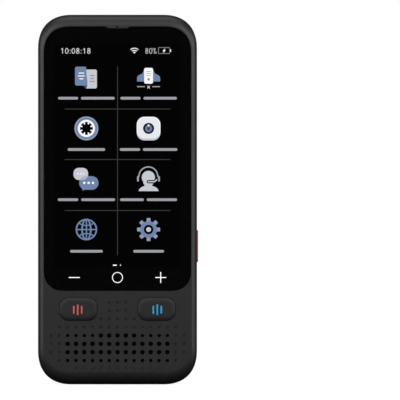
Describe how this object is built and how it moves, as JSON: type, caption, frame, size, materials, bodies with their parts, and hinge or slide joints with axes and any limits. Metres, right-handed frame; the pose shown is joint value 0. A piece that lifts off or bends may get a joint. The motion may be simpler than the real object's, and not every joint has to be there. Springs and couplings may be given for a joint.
{
  "type": "handheld translator",
  "caption": "Handheld translator: flat slab casing with a cover glass and display, two talk keys, a dotted speaker grille, a side key and a rear camera.",
  "frame": {"origin": "middle of the bottom end: centre of the width and the depth, at the lowest point of the casing", "axes": "+Z along the length to the top end, +Y out of the camera side, -Y out of the display, +X to the right as seen from the display side"},
  "size_m": [0.0635, 0.0166, 0.1465],
  "materials": {
    "casing_plastic": "fine matte texture, soft sheen on the rolled edge",
    "casing_plastic_rear": "fine satin texture",
    "cover_glass": "polished, black printed border",
    "black_tape": "dull black foam tape",
    "clear_bond": "clear optical film",
    "display": "lit menu on black",
    "sheet_steel": "plain rolled sheet",
    "flex_film": "amber film",
    "frame_metal": "die cast, dull",
    "battery_foil": "soft foil pouch",
    "board_green": "solder resist",
    "chip_epoxy": "dull moulded epoxy",
    "socket_steel": "plated, drawn shell",
    "black_mesh": "woven acoustic mesh",
    "black_foam": "closed-cell foam",
    "inner_plastic": "moulded black",
    "speaker_film": "thin formed film",
    "silicone": "moulded silicone",
    "camera_ring": "black anodised, satin",
    "camera_window": "polished, coated",
    "camera_mask": "black print",
    "camera_lens": "blue coated lens",
    "screw_steel": "blackened",
    "key_plastic": "fine matte texture",
    "bars_red": "inlaid red",
    "bars_blue": "inlaid blue",
    "power_key_red": "satin red"
  },
  "bodies": {
    "casing": {"front_housing": "casing_plastic", "rear_housing": "casing_plastic_rear", "cover_glass": "cover_glass", "glass_adhesive": "black_tape", "optical_adhesive": "clear_bond", "display_panel": "display", "backlight_unit": "sheet_steel", "display_flex": "flex_film", "inner_frame": "frame_metal", "battery_cell": "battery_foil", "battery_tape": "black_tape", "battery_lead": "flex_film", "main_board": "board_green", "board_chips": "chip_epoxy", "processor_shield": "sheet_steel", "radio_shield": "sheet_steel", "key_board": "board_green", "snap_domes": "sheet_steel", "usb_board": "board_green", "usb_socket_shell": "socket_steel", "usb_socket_tongue": "chip_epoxy", "grille_mesh": "black_mesh", "speaker_gasket": "black_foam", "speaker_frame": "inner_plastic", "speaker_cone": "speaker_film", "speaker_magnet": "sheet_steel", "front_microphone": "sheet_steel", "front_microphone_boot": "silicone", "top_microphone": "sheet_steel", "top_microphone_boot": "silicone", "camera_ring": "camera_ring", "camera_window": "camera_window", "camera_mask": "camera_mask", "camera_lens": "camera_lens", "camera_gasket": "black_foam", "camera_module": "inner_plastic", "power_switch": "sheet_steel", "power_switch_bracket": "sheet_steel", "link_flex": "flex_film", "radio_antenna": "flex_film", "frame_screws": "screw_steel", "board_screws": "screw_steel"},
    "talk_key_left_body": {"talk_key_left": "key_plastic", "talk_key_left_bars": "bars_red", "talk_key_left_pad": "silicone"},
    "talk_key_right_body": {"talk_key_right": "key_plastic", "talk_key_right_bars": "bars_blue", "talk_key_right_pad": "silicone"},
    "power_key_body": {"power_key": "power_key_red"}
  },
  "joints": [
    {"name": "talk_key_left_press", "type": "slide", "parent": "casing", "child": "talk_key_left_body", "axis": [0, 1, 0], "range_m": [0, 0.0004], "stiffness_N_per_m": 500},
    {"name": "talk_key_right_press", "type": "slide", "parent": "casing", "child": "talk_key_right_body", "axis": [0, 1, 0], "range_m": [0, 0.0004], "stiffness_N_per_m": 500},
    {"name": "power_key_press", "type": "slide", "parent": "casing", "child": "power_key_body", "axis": [-1, 0, 0], "range_m": [0, 0.0004], "stiffness_N_per_m": 500}
  ]
}
